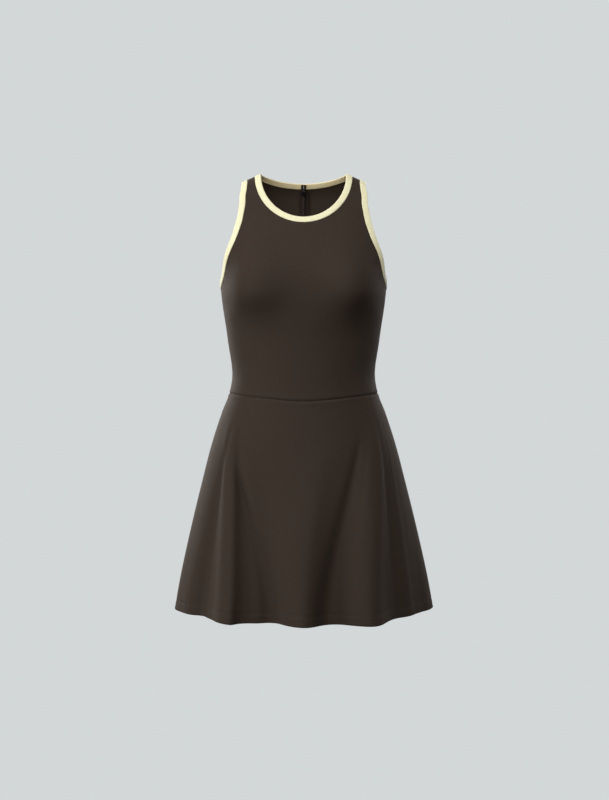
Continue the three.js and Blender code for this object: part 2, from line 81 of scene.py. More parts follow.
# Level sections of the filled dress: height, half its width at the sides, its reach forward and
# back from the side seams, all in millimetres, and how square its corners are.
SECTIONS = [
    (0, 80, 24, 32, 0),
    (-10, 101.5, 33, 42, 0),
    (-30, 144, 43, 57, 0),
    (-50, 173, 49, 66, 0),
    (-75, 181, 57, 75, 0),
    (-100, 176, 68, 82, 0),
    (-125, 169, 81, 88, 0),
    (-150, 160.5, 93, 92, 0),
    (-175, 151, 102, 94, 0),
    (-207, 143.5, 105, 94, 0),
    (-255, 140, 101.5, 90, 0.06),
    (-300, 135, 97, 84, 0.1),
    (-355, 127.5, 96, 78, 0.12),
    (-392, 132.5, 97.5, 82, 0.12),
    (-427, 146, 101, 91, 0.12),
    (-484, 164, 111, 109, 0.12),
    (-542, 178.5, 122, 122, 0.06),
    (-628, 198.5, 138, 137, -0.02),
    (-715, 216.5, 150, 150, -0.08),
    (-778, 227, 157, 157, -0.12),
]
SECTION_Z, HALF, FRONT, BACK, SQUARE = (np.array(column) for column in zip(*SECTIONS))
SECTION_Z, HALF, FRONT, BACK = SECTION_Z * MM, HALF * MM, FRONT * MM, BACK * MM

# The fullness over each bust point, in millimetres. It fades out above, below, aside and behind
# the side seams.
BUST = {"x": 86, "z": -209, "fullness": 25.5, "across": 43, "above": 70, "below": 43.5, "behind": 30}

# The neck seam: half its width, its height at the shoulder, and its drop and bend in front and behind.
NECK = {"half": 87 * MM, "z": -3 * MM, "front": (87 * MM, 1), "back": (17.5 * MM, 1.7)}

# The armhole seam in side view, y and z in millimetres, down the front and up the back.
ARMHOLE = [
    (0, -9.5), (-15.5, -14.5), (-29.3, -28), (-39.4, -50), (-45.4, -72), (-51.4, -95), (-57.2, -128),
    (-52.7, -160), (-39, -189), (0, -207), (38.5, -189), (57, -150), (64, -110), (63, -91),
    (60.5, -72), (53.5, -50), (40.5, -28), (21, -14.5),
]

# Soft folds of the skirt: the turn of each ridge at the hem, how much further round it lies at its
# top, its rise at the hem in millimetres, half its width before and after its ridge in degrees, and
# the height where it begins.
FOLDS = [
    (-84, 0, 4, 8, 8, -430),
    (-54, 7, -6.5, 6, 8, -435),
    (-30.7, -27, 27, 10, 5.6, -392),
    (-12, -25, -22, 6.7, 8.5, -450),
    (-1, 10.5, 28.5, 16.5, 9, -478),
    (28, 34, 38, 8.5, 9, -392),
    (62, 3, -6, 9.5, 11, -500),
    (72.5, 6, -4, 8, 7, -480),
    (94, 0, 6, 9, 9, -430),
    (121, -12, 19, 10.5, 7, -430),
    (151, -9, 22, 7.5, 11, -420),
    (181, 4, 19, 10, 7, -445),
    (210, 12, 23, 11, 7, -415),
    (241, 13, 18, 7.5, 10.5, -435),
]
FOLD_ONSET = 1.25
FOLD_NARROW = 1
FOLD_SWEEP = 1.7

# Narrow creases beside the folds, with the same columns. At its top a crease has only the share
# CREASE_NARROW of its width at the hem.
CREASES = [
    (-54, 0, -5, 5, 5, -440),
    (-37.5, -22, 2.5, 4.5, 4, -446),
    (-25, -22, -13.5, 5, 6, -450),
    (-15, -30, -12.5, 4.5, 4.5, -500),
    (11.5, 26, -11, 6, 4.5, -470),
    (21, 24, 3, 3.9, 4.3, -480),
    (47, 10, -5, 5, 5, -435),
    (57, 9, 2, 4, 4.2, -449),
    (112, -10, -4, 4.5, 5, -445),
    (134, -8, -3.5, 5, 4, -455),
    (163, -6, -4, 4, 5, -440),
    (196, 6, -4, 5, 4.5, -450),
    (224, 10, -3.5, 4, 5, -440),
    (253, 8, -4, 5, 4, -450),
]
CREASE_ONSET = 0.55
CREASE_NARROW = 0.45

# How far the hem's stitches lie out from the middle of the cloth.
HEM_STITCH_RISE = 0.52 * MM

# Shallow pulls in the bodice cloth: turn and height of each end, depth and half width in
# millimetres. A degree of turn is about PULL_DEGREE millimetres of this cloth.
PULLS = [
    (-66, -158, -47, -176, 0.7, 9),
    (64, -154, 44, -174, 0.6, 8),
    (-84, -238, -48, -221, 0.8, 9),
    (82, -246, 50, -224, 0.7, 10),
    (-78, -340, -46, -349, 0.7, 7),
    (76, -333, 52, -345, 0.8, 8),
    (86, -362, 60, -366, 0.6, 6),
    (-86, -368, -58, -371, 0.6, 6),
    (118, -165, 140, -188, 0.7, 9),
    (-120, -160, -143, -186, 0.8, 10),
    (104, -338, 132, -349, 0.8, 7),
    (-102, -346, -136, -352, 0.7, 8),
    (98, -366, 120, -369, 0.6, 6),
]
PULL_DEGREE = 2.3

# Steps of the bodice's seams, as its solids have them: side seam, centre line above it, neck seam.
FRONT_STEPS = (8, 5, 11)
BACK_STEPS = (8, 12, 7)

# The zip, in millimetres: distances run down from the neck seam, depths from the middle of the cloth.
ZIP_TOP, ZIP_BOTTOM, TAPE_TOP, TAPE_BOTTOM = 11.1, 211.1, -10.6, 226.8
TAPE_SLIT, TAPE_SLIT_AT_NECK = 1, 0.15
TAPE_WIDTH, TAPE_WIDTH_AT_NECK = 9, 4.4
TAPE_DEPTH, TAPE_DEPTH_AT_NECK = 2, 2.2
TAPE_WALL = 0.6
TAPE_STITCHES_FROM_EDGE, TAPE_STITCHES_OUT = 2.2, 0.4
TAPE_COLOUR = (0.0290, 0.0195, 0.0145)
NECK_OPENING = 0.7
SLIDER_DOWN, COIL_DEPTH, COIL_WIDTH, COIL_PITCH, COIL_THREAD = 6, 3.8, 5, 1.25, 0.8
COIL_COLOUR = (0.027, 0.0190, 0.0150)
METAL_COLOUR, WORN_METAL_COLOUR = (0.135, 0.15, 0.18, 1), (0.42, 0.44, 0.47, 1)

# The photograph's frame and the camera that takes it, in pixels and metres.
PHOTO_SIZE = (609, 800)
PHOTO_CENTRE_X, PHOTO_HORIZON_Y = 303.6, 334.5
METRES_PER_PIXEL = 1.8 * MM
CAMERA_DISTANCE = 2.6
CAMERA_HEIGHT = -0.287
FLOOR_Z = -1.38
FLOOR_SIZE = 40

# The studio: a pale backdrop that gives little light, and soft boxes round the dress. Their columns
# are name, azimuth, elevation, size, power and colour.
BACKDROP_COLOUR = (0.651, 0.680, 0.687, 1)
BACKDROP_LIGHT = 0.03
LIGHT_AIM = (0, 0, -0.4)
LIGHT_DISTANCE = 3.0
LIGHTS = [
    ("key_front", 0, 30, (1.4, 1.4), 42, (1.0, 0.99, 0.975)),
    ("high_left", -30, 50, (1.4, 1.4), 40, (1.0, 0.99, 0.975)),
    ("low_left", -74, -4, (1.4, 1.4), 30, (1.0, 0.985, 0.965)),
    ("key_left", -66, 12, (1.3, 1.5), 9, (1.0, 0.985, 0.965)),
    ("edge_left", -138, 14, (1.2, 1.5), 52, (1.0, 0.99, 0.98)),
    ("edge_right", 112, 14, (1.0, 1.6), 14, (0.985, 0.99, 1.0)),
    ("back_right", 142, 14, (1.2, 1.5), 16, (0.985, 0.99, 1.0)),
    ("back_fill", 172, 18, (1.6, 1.6), 26, (0.99, 0.99, 1.0)),
    ("back_high", -165, 48, (1.4, 1.4), 16, (1.0, 0.99, 0.98)),
]


# Sizes and colours

def in_mm(name, description, value):
    return FloatProperty(name=name, description=description, default=value * MM, unit="LENGTH")


def in_colour(name, description, value):
    return FloatVectorProperty(name=name, description=description, subtype="COLOR", default=value)


class DressCloth(bpy.types.PropertyGroup):
    wall: in_mm("Wall", "Thickness of the bodice's knit", 1.4)
    skirt_wall: in_mm("Skirt wall", "Thickness of the skirt's knit", 1.2)
    hem_depth: in_mm("Hem depth", "Cloth turned up at the hem", 18)
    seam_depth: in_mm("Seam depth", "How far a seam pulls the cloth in", 1.5)
    seam_width: in_mm("Seam width", "Half width of the dip at a seam", 1.7)
    colour: in_colour("Cloth", "Colour of the knit", (0.0403, 0.0283, 0.0209))


class DressBinding(bpy.types.PropertyGroup):
    width: in_mm("Width", "Width of the finished binding", 11)
    height: in_mm("Height", "Thickness of the folded binding", 2.6)
    wall: in_mm("Wall", "Thickness of one layer of binding", 0.6)
    colour: in_colour("Binding", "Colour of the binding", (0.90, 0.855, 0.575))
    # The turned-in half, seen inside the back neck, is painted warmer: painted warm light for the warm glow
    # that falls there.
    inner_half_painted_warm_light: in_colour("Inside", "Colour of the turned-in half", (0.98, 0.83, 0.50))
    thread_colour: in_colour("Thread", "Colour of the binding's thread", (0.78, 0.73, 0.46))


class DressStitches(bpy.types.PropertyGroup):
    length: in_mm("Length", "Length of one stitch", 2.4)
    gap: in_mm("Gap", "Space between two stitches", 0.7)
    thickness: in_mm("Thickness", "Thickness of the thread", 0.42)
    row_gap: in_mm("Row gap", "Space between the hem's two rows", 3.2)
    colour: in_colour("Thread", "Colour of the hem thread", (0.041, 0.030, 0.0235))


# Form of the cloth

def on_section(values, z):
    """One column of the sections at heights z, on a smooth curve through its rows."""
    z = np.asarray(z, float)
    last = len(SECTION_Z) - 2
    i = np.clip(np.searchsorted(-SECTION_Z, -z) - 1, 0, last)
    before, after = np.maximum(i - 1, 0), np.minimum(i + 2, last + 1)
    span = SECTION_Z[i + 1] - SECTION_Z[i]
    slope_a = (values[i + 1] - values[before]) / (SECTION_Z[i + 1] - SECTION_Z[before])
    slope_b = (values[after] - values[i]) / (SECTION_Z[after] - SECTION_Z[i])
    t = (z - SECTION_Z[i]) / span
    ends = (2 * t**3 - 3 * t**2 + 1) * values[i] + (3 * t**2 - 2 * t**3) * values[i + 1]
    curve = ends + ((t**3 - 2 * t**2 + t) * slope_a + (t**3 - t**2) * slope_b) * span
    above = values[i] + slope_a * (z - SECTION_Z[i])
    below = values[i + 1] + slope_b * (z - SECTION_Z[i + 1])
    return np.where(t < 0, above, np.where(t > 1, below, curve))


def bust(x, y, z):
    """How far the fullness over the bust points lifts the cloth."""
    aside = (np.abs(x) / MM - BUST["x"]) / BUST["across"]
    height = z / MM - BUST["z"]
    along = height / np.where(height > 0, BUST["above"], BUST["below"])
    behind = np.maximum(0, y) / MM / BUST["behind"]
    return BUST["fullness"] * MM * np.exp(-(aside**2) - along**2 - behind**2)


def turn_between(a, b):
    """The difference of two turns, from -180 to 180 degrees."""
    return (a - b + 180) % 360 - 180


def rises(table, onset, narrow, turn, z):
    """How far the folds or creases of a table lift the cloth."""
    total = np.zeros(np.broadcast(turn, z).shape)
    for at, lean, rise, before, after, top in table:
        down = np.clip((top * MM - z) / (top * MM - HEM_Z), 0, None)
        aside = turn_between(turn, at + lean * np.clip(1 - down, 0, 1) ** FOLD_SWEEP)
        aside = aside / (np.where(aside < 0, before, after) * (narrow + (1 - narrow) * down))
        total = total + rise * MM * down**onset * np.exp(-(aside**2))
    return total


def creases(turn, z):
    return rises(CREASES, CREASE_ONSET, CREASE_NARROW, turn, z)


def pulls(turn, z):
    """Depth of the shallow pulls, measured across each one on the cloth."""
    total = np.zeros(np.broadcast(turn, z).shape)
    for turn_a, z_a, turn_b, z_b, depth, spread in PULLS:
        across, height = turn_between(turn, turn_a) * PULL_DEGREE, z / MM - z_a
        run = np.array([turn_between(turn_b, turn_a) * PULL_DEGREE, z_b - z_a])
        length = np.hypot(*run)
        along = (across * run[0] + height * run[1]) / length
        aside = (height * run[0] - across * run[1]) / length
        ends = np.clip(np.minimum(along, length - along) / (0.35 * length) + 0.5, 0, 1)
        total = total + depth * MM * np.exp(-((aside / spread) ** 2)) * ends**2 * (3 - 2 * ends)
    return total


def form(turn, z):
    """The middle of the cloth at a turn and a height."""
    turn, z = np.broadcast_arrays(np.asarray(turn, float), np.asarray(z, float))
    across, ahead = np.sin(np.radians(turn)), np.cos(np.radians(turn))
    half = on_section(HALF, z)
    reach = np.where(ahead > 0, on_section(FRONT, z), on_section(BACK, z))
    square = 1 + on_section(SQUARE, z) * across**2
    x, y = half * across, -reach * ahead * square
    away = np.stack([across / half, -ahead / reach, np.zeros_like(z)], -1)
    away /= np.linalg.norm(away, axis=-1, keepdims=True)
    out = bust(x, y, z) + rises(FOLDS, FOLD_ONSET, FOLD_NARROW, turn, z)
    return np.stack([x, y, z], -1) + away * out[..., None]


def outward(turn, z):
    """The direction straight out of the cloth, from places close by on both sides."""
    small = 0.2
    along = form(turn + small, z) - form(turn - small, z)
    up = form(turn, z + small * MM) - form(turn, z - small * MM)
    found = np.cross(along, up)
    return found / np.linalg.norm(found, axis=-1, keepdims=True)


def lifted(turn, z, out):
    """Points moved out from the middle of the cloth, or in where out is negative."""
    turn, z = np.broadcast_arrays(np.asarray(turn, float), np.asarray(z, float))
    return form(turn, z) + outward(turn, z) * np.asarray(out)[..., None]


def lengths(points, axis=0):
    """Distance along lines of points, from 0 at the first of each."""
    steps = np.linalg.norm(np.diff(points, axis=axis), axis=-1)
    start = np.zeros_like(np.take(steps, [0], axis=axis))
    return np.concatenate([start, np.cumsum(steps, axis=axis)], axis=axis)


def even_places(path, shares):
    """Turns and heights at shares of the length of a path on the cloth."""
    turn, z = path(np.linspace(0, 1, 600))
    along = lengths(form(turn, z))
    at = np.asarray(shares) * along[-1]
    return np.interp(at, along, turn), np.interp(at, along, z)


def neck_seam(is_back):
    """The left half of the neck seam, from the centre at 0 to the shoulder at 1."""
    drop, bend = NECK["back" if is_back else "front"]

    def path(t):
        angle = (1 - (1 - t) ** 2) * math.pi / 2
        z = NECK["z"] - drop * np.clip(np.cos(angle), 0, 1) ** bend
        x = np.clip(NECK["half"] * np.sin(angle) / on_section(HALF, z), -1, 1)
        turn = np.degrees(np.arcsin(x))
        return (180 - turn if is_back else turn), z

    return path


def armhole_seam(t):
    """The left armhole seam, from the shoulder at 0 down the front, and up the back again to 1."""
    knots = np.array(ARMHOLE) * MM
    count = len(knots)
    place = np.asarray(t) * count
    i = np.floor(place).astype(int)
    share = (place - i)[..., None]
    p0, p1, p2, p3 = (knots[(i + k) % count] for k in (-1, 0, 1, 2))
    pairs = ((p0, p1), (p1, p2), (p2, p3))
    d0, d1, d2 = (np.sqrt(np.linalg.norm(b - a, axis=-1))[..., None] for a, b in pairs)
    slope_a = ((p1 - p0) / d0 - (p2 - p0) / (d0 + d1) + (p2 - p1) / d1) * d1
    slope_b = ((p2 - p1) / d1 - (p3 - p1) / (d1 + d2) + (p3 - p2) / d2) * d1
    square = -3 * p1 + 3 * p2 - 2 * slope_a - slope_b
    cube = 2 * p1 - 2 * p2 + slope_a + slope_b
    y, z = np.moveaxis(p1 + slope_a * share + square * share**2 + cube * share**3, -1, 0)
    reach = np.where(y < 0, on_section(FRONT, z), on_section(BACK, z))
    return np.degrees(np.arccos(np.clip(-y / reach, -1, 1))), z


def waist_seam(turn):
    """The waist seam dips to a soft point at centre front and is level behind."""
    turn = np.radians(np.asarray(turn, float))
    aside = np.hypot(np.sin(turn), WAIST_POINT_ROUNDING)
    dip = WAIST_SEAM_DIP * np.clip((1 - aside) / (1 - WAIST_POINT_ROUNDING), 0, None)
    return WAIST_SEAM_Z - np.where(np.cos(turn) > 0, dip, 0)


# Meshes

def clear_selection():
    for thing in bpy.context.view_layer.objects:
        thing.select_set(False)


def make_active(piece):
    clear_selection()
    piece.select_set(True)
    bpy.context.view_layer.objects.active = piece


def add_object(name, points, faces, loop_uvs=None):
    mesh = bpy.data.meshes.new(name)
    mesh.from_pydata([tuple(p) for p in points], [], faces)
    if loop_uvs is not None:
        mesh.uv_layers.new(name="cloth").data.foreach_set("uv", np.asarray(loop_uvs, float).ravel())
    piece = bpy.data.objects.new(name, mesh)
    bpy.context.scene.collection.objects.link(piece)
    return piece


def edit(piece, operation, **settings):
    """Runs one operation on the whole mesh of a piece."""
    make_active(piece)
    bpy.ops.object.mode_set(mode="EDIT")
    bpy.ops.mesh.select_all(action="SELECT")
    operation(**settings)
    bpy.ops.object.mode_set(mode="OBJECT")


def apply_modifier(piece, kind, **settings):
    make_active(piece)
    modifier = piece.modifiers.new(kind.title(), kind)
    for key, value in settings.items():
        setattr(modifier, key, value)
    bpy.ops.object.modifier_apply(modifier=modifier.name)


def finish(piece, material, node=None, body="dress"):
    """Gives a piece its material and body, and puts it in its solid's place if it has one."""
    piece.data.materials.append(material)
    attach(piece, body)
    if node:
        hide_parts(node)


def shade_smooth(piece):
    piece.data.polygons.foreach_set("use_smooth", [True] * len(piece.data.polygons))


def grid_faces(rows, columns, first):
    """Faces of a grid of points, which are numbered row by row from first."""
    j, i = np.meshgrid(np.arange(rows - 1), np.arange(columns - 1), indexing="ij")
    a = first + j * columns + i
    return np.stack([a, a + 1, a + columns + 1, a + columns], -1).reshape(-1, 4)


def join_grids(name, grids, flats=None):
    """One sheet from grids of points, merged where their edges meet. flats are places on the cut."""
    points, faces, first = [], [], 0
    for grid in grids:
        points.append(grid.reshape(-1, 3))
        faces.append(grid_faces(*grid.shape[:2], first))
        first += len(points[-1])
    faces = np.concatenate(faces)
    loop_uvs = np.concatenate([flat.reshape(-1, 2) for flat in flats])[faces] if flats else None
    piece = add_object(name, np.concatenate(points), faces.tolist(), loop_uvs)
    edit(piece, bpy.ops.mesh.remove_doubles, threshold=0.02 * MM)
    return piece


def copies(name, shape, shape_faces, centres, axes):
    """One object of many copies of a shape, each at its own centre and along its own three axes."""
    points = centres[:, None] + shape @ axes
    starts = range(0, len(centres) * len(shape), len(shape))
    faces = [tuple(start + i for i in face) for start in starts for face in shape_faces]
    piece = add_object(name, points.reshape(-1, 3), faces)
    shade_smooth(piece)
    return piece


def read(things, key, width=1, kind=float):
    """One attribute of all the things, a row for each."""
    values = np.empty(len(things) * width, kind)
    things.foreach_get(key, values)
    return values.reshape(-1, width)


def lay_flat(piece, is_strip):
    """Gives a sheet the UV map of its flat cut, in metres, upright, and returns its size and area."""
    edit(piece, bpy.ops.uv.unwrap, method="ANGLE_BASED", margin=0)
    mesh = piece.data
    uvs = read(mesh.uv_layers.active.data, "uv", 2)
    corner = read(mesh.loops, "vertex_index", kind=int)[:, 0]
    height = read(mesh.vertices, "co", 3)[corner, 2]
    area = sum(face.area for face in mesh.polygons)
    quads = uvs.reshape(-1, 4, 2)
    cross = np.cross(quads[:, 2] - quads[:, 0], quads[:, 3] - quads[:, 1])
    flat_area = abs(cross.sum()) / 2
    centred = uvs - uvs.mean(0)
    up = np.linalg.lstsq(centred, height - height.mean(), rcond=None)[0]
    if is_strip:
        up = np.linalg.eigh(centred.T @ centred)[1][:, 1]
    up /= np.linalg.norm(up)
    side = np.array([up[1], -up[0]])
    laid = np.stack([centred @ side, centred @ up], -1) * math.sqrt(area / flat_area)
    mesh.uv_layers.active.data.foreach_set("uv", laid.ravel())
    mesh.uv_layers.active.name = "cloth"
    width, length = laid.max(0) - laid.min(0)
    return (float(width), float(length)), float(area)


def finish_sheet(piece, node, wall, material, is_strip=False):
    """Gives a sheet its flat cut, thickness and finish, and puts it in its solid's place."""
    flat, area = lay_flat(piece, is_strip)
    apply_modifier(piece, "SOLIDIFY", thickness=wall, offset=0, use_even_offset=True)
    shade_smooth(piece)
    finish(piece, material, node)


def edge_steps(count, first, last, shares):
    """Shares from 0 to 1, closer together near an end that has a seam. shares are at the ends."""
    inside = np.linspace(shares[-1] if first else 0, 1 - shares[-1] if last else 1, count)
    start = shares[:-1] if first else []
    end = [1 - share for share in reversed(shares[:-1])] if last else []
    return np.concatenate([start, inside, end])


def seam_dip(distance, along=0.0):
    """How far cloth lies in beside its seam: a groove, deeper where a stitch draws it in, and a soft lip."""
    sizes = bpy.context.scene.dress_cloth
    short_wave, long_wave = (np.sin(along / (pitch * MM) * 2 * math.pi) for pitch in (7.5, 19))
    drawn = 0.8 + 0.2 * short_wave + 0.12 * long_wave
    lip = 0.3 * MM * np.exp(-(((distance - 3 * sizes.seam_width) / (1.8 * sizes.seam_width)) ** 2))
    return sizes.seam_depth * drawn * np.exp(-((distance / sizes.seam_width) ** 2)) - lip


def puckers(along, distance, pitch=9 * MM, depth=0.22 * MM, reach=7 * MM):
    """Small waves that stitching draws up beside a seam, uneven along it."""
    wave = np.sin(along / pitch * 2 * math.pi) + 0.6 * np.sin(along / pitch * 3.7 + 1.3)
    return depth * wave * np.exp(-((distance / reach) ** 2))


# Materials

def add_node(tree, kind, settings=None, **inputs):
    """A node with its settings and inputs. An input takes a value or a node's output; n0 is the first."""
    node = tree.nodes.new(kind)
    for key, value in (settings or {}).items():
        setattr(node, key, value)
    for key, value in inputs.items():
        name = key.replace("_", " ")
        socket = node.inputs[int(key[1:])] if key[0] == "n" and key[1:].isdigit() else node.inputs[name]
        if isinstance(value, bpy.types.NodeSocket):
            tree.links.new(value, socket)
        else:
            socket.default_value = value
    return node


def math_node(tree, operation, *values):
    inputs = {f"n{k}": value for k, value in enumerate(values)}
    return add_node(tree, "ShaderNodeMath", {"operation": operation}, **inputs).outputs[0]


def object_place(tree):
    return add_node(tree, "ShaderNodeTexCoord").outputs["Object"]


def cut_place(tree):
    """Place on the flat cut, in metres."""
    return add_node(tree, "ShaderNodeUVMap", {"uv_map": "cloth"}).outputs[0]


def noise(tree, place, **inputs):
    return add_node(tree, "ShaderNodeTexNoise", Vector=place, **inputs).outputs[0]


def spread(tree, value, low, high, **inputs):
    """A value spread over a range from low to high."""
    return add_node(tree, "ShaderNodeMapRange", Value=value, To_Min=low, To_Max=high, **inputs).outputs[0]


def mixed(tree, share, first, second, blend="MIX"):
    settings = {"data_type": "RGBA", "blend_type": blend}
    return add_node(tree, "ShaderNodeMix", settings, n0=share, n6=first, n7=second).outputs[2]


def slanting_lines(tree, place, scale):
    settings = {"bands_direction": "DIAGONAL"}
    return add_node(tree, "ShaderNodeTexWave", settings, Vector=place, Scale=scale).outputs[1]


def new_material(name, **values):
    """A material with its shader's plain values, and its tree and its shader."""
    material = bpy.data.materials.new(name)
    material.use_nodes = True
    tree = material.node_tree
    shader = next(node for node in tree.nodes if node.type == "BSDF_PRINCIPLED")
    for key, value in values.items():
        shader.inputs[key.replace("_", " ")].default_value = value
    return material, tree, shader


def knit_height(tree, wale, course):
    """Height of plain knit: upright columns of small V shapes, from the cut's own flat map."""
    flat = add_node(tree, "ShaderNodeSeparateXYZ", Vector=cut_place(tree))
    column = math_node(tree, "FRACT", math_node(tree, "DIVIDE", flat.outputs[0], wale))
    off_centre = math_node(tree, "ABSOLUTE", math_node(tree, "SUBTRACT", column, 0.5))
    aside = math_node(tree, "MULTIPLY", off_centre, 2.0)
    rib = math_node(tree, "SUBTRACT", 1.0, math_node(tree, "POWER", aside, 2.0))
    row = math_node(tree, "DIVIDE", flat.outputs[1], course)
    slanted = math_node(tree, "ADD", row, math_node(tree, "MULTIPLY", aside, 0.55))
    loop = math_node(tree, "SINE", math_node(tree, "MULTIPLY", slanted, 2 * math.pi))
    return math_node(tree, "MULTIPLY", rib, math_node(tree, "MULTIPLY_ADD", loop, 0.3, 0.7))


def varied_colour(tree, colour, amount, scale):
    """A colour that differs a little from place to place."""
    patches = noise(tree, object_place(tree), Scale=scale, Detail=3)
    shade = spread(tree, patches, 1 - amount, 1 + amount, From_Min=0.3, From_Max=0.7)
    return mixed(tree, 1.0, (*colour, 1), shade, "MULTIPLY")


def bump(tree, shader, height, distance, strength, under=None):
    node = add_node(tree, "ShaderNodeBump", Height=height, Distance=distance, Strength=strength)
    if under is not None:
        tree.links.new(under, node.inputs["Normal"])
    tree.links.new(node.outputs[0], shader.inputs["Normal"])
    return node.outputs[0]


def knit_cloth():
    """Dark stretch knit: fine columns of loops, a soft nap and a faint sheen."""
    if found := bpy.data.materials.get("dark_stretch_knit"):
        return found
    material, tree, shader = new_material(
        "dark_stretch_knit",
        Roughness=0.78,
        Specular_IOR_Level=0.12,
        Sheen_Weight=0.10,
        Sheen_Roughness=0.45,
        Sheen_Tint=(0.80, 0.62, 0.50, 1),
    )
    colour = varied_colour(tree, bpy.context.scene.dress_cloth.colour, 0.07, 420)
    tree.links.new(colour, shader.inputs["Base Color"])
    knit = bump(tree, shader, knit_height(tree, 0.62 * MM, 0.5 * MM), 0.16 * MM, 0.35)
    nap = noise(tree, object_place(tree), Scale=95, Detail=5, Roughness=0.6)
    bump(tree, shader, nap, 0.5 * MM, 0.16, knit)
    tree.links.new(spread(tree, nap, 0.66, 0.80), shader.inputs["Roughness"])
    return material


def binding_cloth():
    """Cream binding: fine ribs across the strip, a soft, clean surface, and painted warm light on its
    turned-in half.
    """
    if found := bpy.data.materials.get("cream_rib_binding"):
        return found
    material, tree, shader = new_material(
        "cream_rib_binding",
        Roughness=0.62,
        Specular_IOR_Level=0.35,
        Sheen_Weight=0.12,
        Sheen_Roughness=0.5,
        Sheen_Tint=(1.0, 0.97, 0.85, 1),
    )
    sizes = bpy.context.scene.dress_binding
    across = add_node(tree, "ShaderNodeSeparateXYZ", Vector=cut_place(tree)).outputs[1]
    # Painted warm light: the turned-in half takes the warmer inner colour, for the warm glow inside the back
    # neck.
    painted_light_share = spread(tree, across, 0, 1, From_Min=sizes.width, From_Max=sizes.width + 2 * MM)
    outside = varied_colour(tree, sizes.colour, 0.03, 160)
    inside = varied_colour(tree, sizes.inner_half_painted_warm_light, 0.03, 160)
    tree.links.new(mixed(tree, painted_light_share, outside, inside), shader.inputs["Base Color"])
    bump(tree, shader, knit_height(tree, 0.8 * MM, 0.65 * MM), 0.14 * MM, 0.4)
    return material


def sewing_thread(name, colour):
    """Twisted thread: slanting plies along each stitch."""
    if found := bpy.data.materials.get(name):
        return found
    material, tree, shader = new_material(name, Roughness=0.5, Specular_IOR_Level=0.4, Sheen_Weight=0.1)
    tree.links.new(varied_colour(tree, colour, 0.08, 900), shader.inputs["Base Color"])
    bump(tree, shader, slanting_lines(tree, object_place(tree), 900), 0.08 * MM, 0.5)
    return material


def woven_tape():
    """Zip tape: a tight, dull twill weave."""
    if found := bpy.data.materials.get("woven_zip_tape"):
        return found
    material, tree, shader = new_material("woven_zip_tape", Roughness=0.9, Specular_IOR_Level=0.08)
    tree.links.new(varied_colour(tree, TAPE_COLOUR, 0.1, 500), shader.inputs["Base Color"])
    bump(tree, shader, slanting_lines(tree, cut_place(tree), 420), 0.12 * MM, 0.5)
    return material


def coil_nylon():
    """Nylon zip coil: smooth dark plastic, a little scuffed."""
    if found := bpy.data.materials.get("zip_coil_nylon"):
        return found
    material, tree, shader = new_material("zip_coil_nylon", Specular_IOR_Level=0.5, Roughness=0.38)
    tree.links.new(varied_colour(tree, COIL_COLOUR, 0.12, 300), shader.inputs["Base Color"])
    scuffs = noise(tree, object_place(tree), Scale=1400, Detail=3)
    tree.links.new(spread(tree, scuffs, 0.3, 0.5), shader.inputs["Roughness"])
    bump(tree, shader, scuffs, 0.03 * MM, 0.4)
    return material


def slider_metal():
    """Grey plated metal with fine scratches, brighter where its edges have rubbed."""
    if found := bpy.data.materials.get("grey_plated_metal"):
        return found
    material, tree, shader = new_material("grey_plated_metal", Metallic=1.0)
    long_grain = {"Vector": object_place(tree), "Scale": (1600, 1600, 220)}
    scratches = noise(tree, add_node(tree, "ShaderNodeMapping", **long_grain).outputs[0], Scale=1, Detail=4)
    edges = add_node(tree, "ShaderNodeNewGeometry").outputs["Pointiness"]
    worn = math_node(tree, "GREATER_THAN", edges, 0.56)
    colour = mixed(tree, worn, METAL_COLOUR, WORN_METAL_COLOUR)
    tree.links.new(colour, shader.inputs["Base Color"])
    tree.links.new(spread(tree, scratches, 0.26, 0.46), shader.inputs["Roughness"])
    bump(tree, shader, scratches, 0.02 * MM, 0.35)
    return material


# Panels of the bodice

def legs(parts, steps, at):
    """Places where seams run on from each other: at counts the solids' steps along all of them."""
    turn, z = np.zeros(len(at)), np.zeros(len(at))
    first = 0
    for path, count in zip(parts, steps):
        inside = (at >= first - 1e-9) & (at <= first + count + 1e-9)
        turn[inside], z[inside] = even_places(path, (at[inside] - first) / count)
        first += count
    return turn, z


def straight_up(turn, low, high):
    return lambda t: (np.full_like(t, turn), low + (high - low) * t)


def row_steps(total, per_step=4):
    """Counts of the solids' steps at which a bodice panel has its rows, closer at waist and shoulder."""
    low = [0, 0.04, 0.09, 0.15, 0.22, 0.31, 0.42, 0.56, 0.75]
    high = [total - step for step in (0.6, 0.4, 0.26, 0.16, 0.08, 0)]
    return np.array([*low, *np.arange(1, total - 0.99, 1 / per_step), *high])


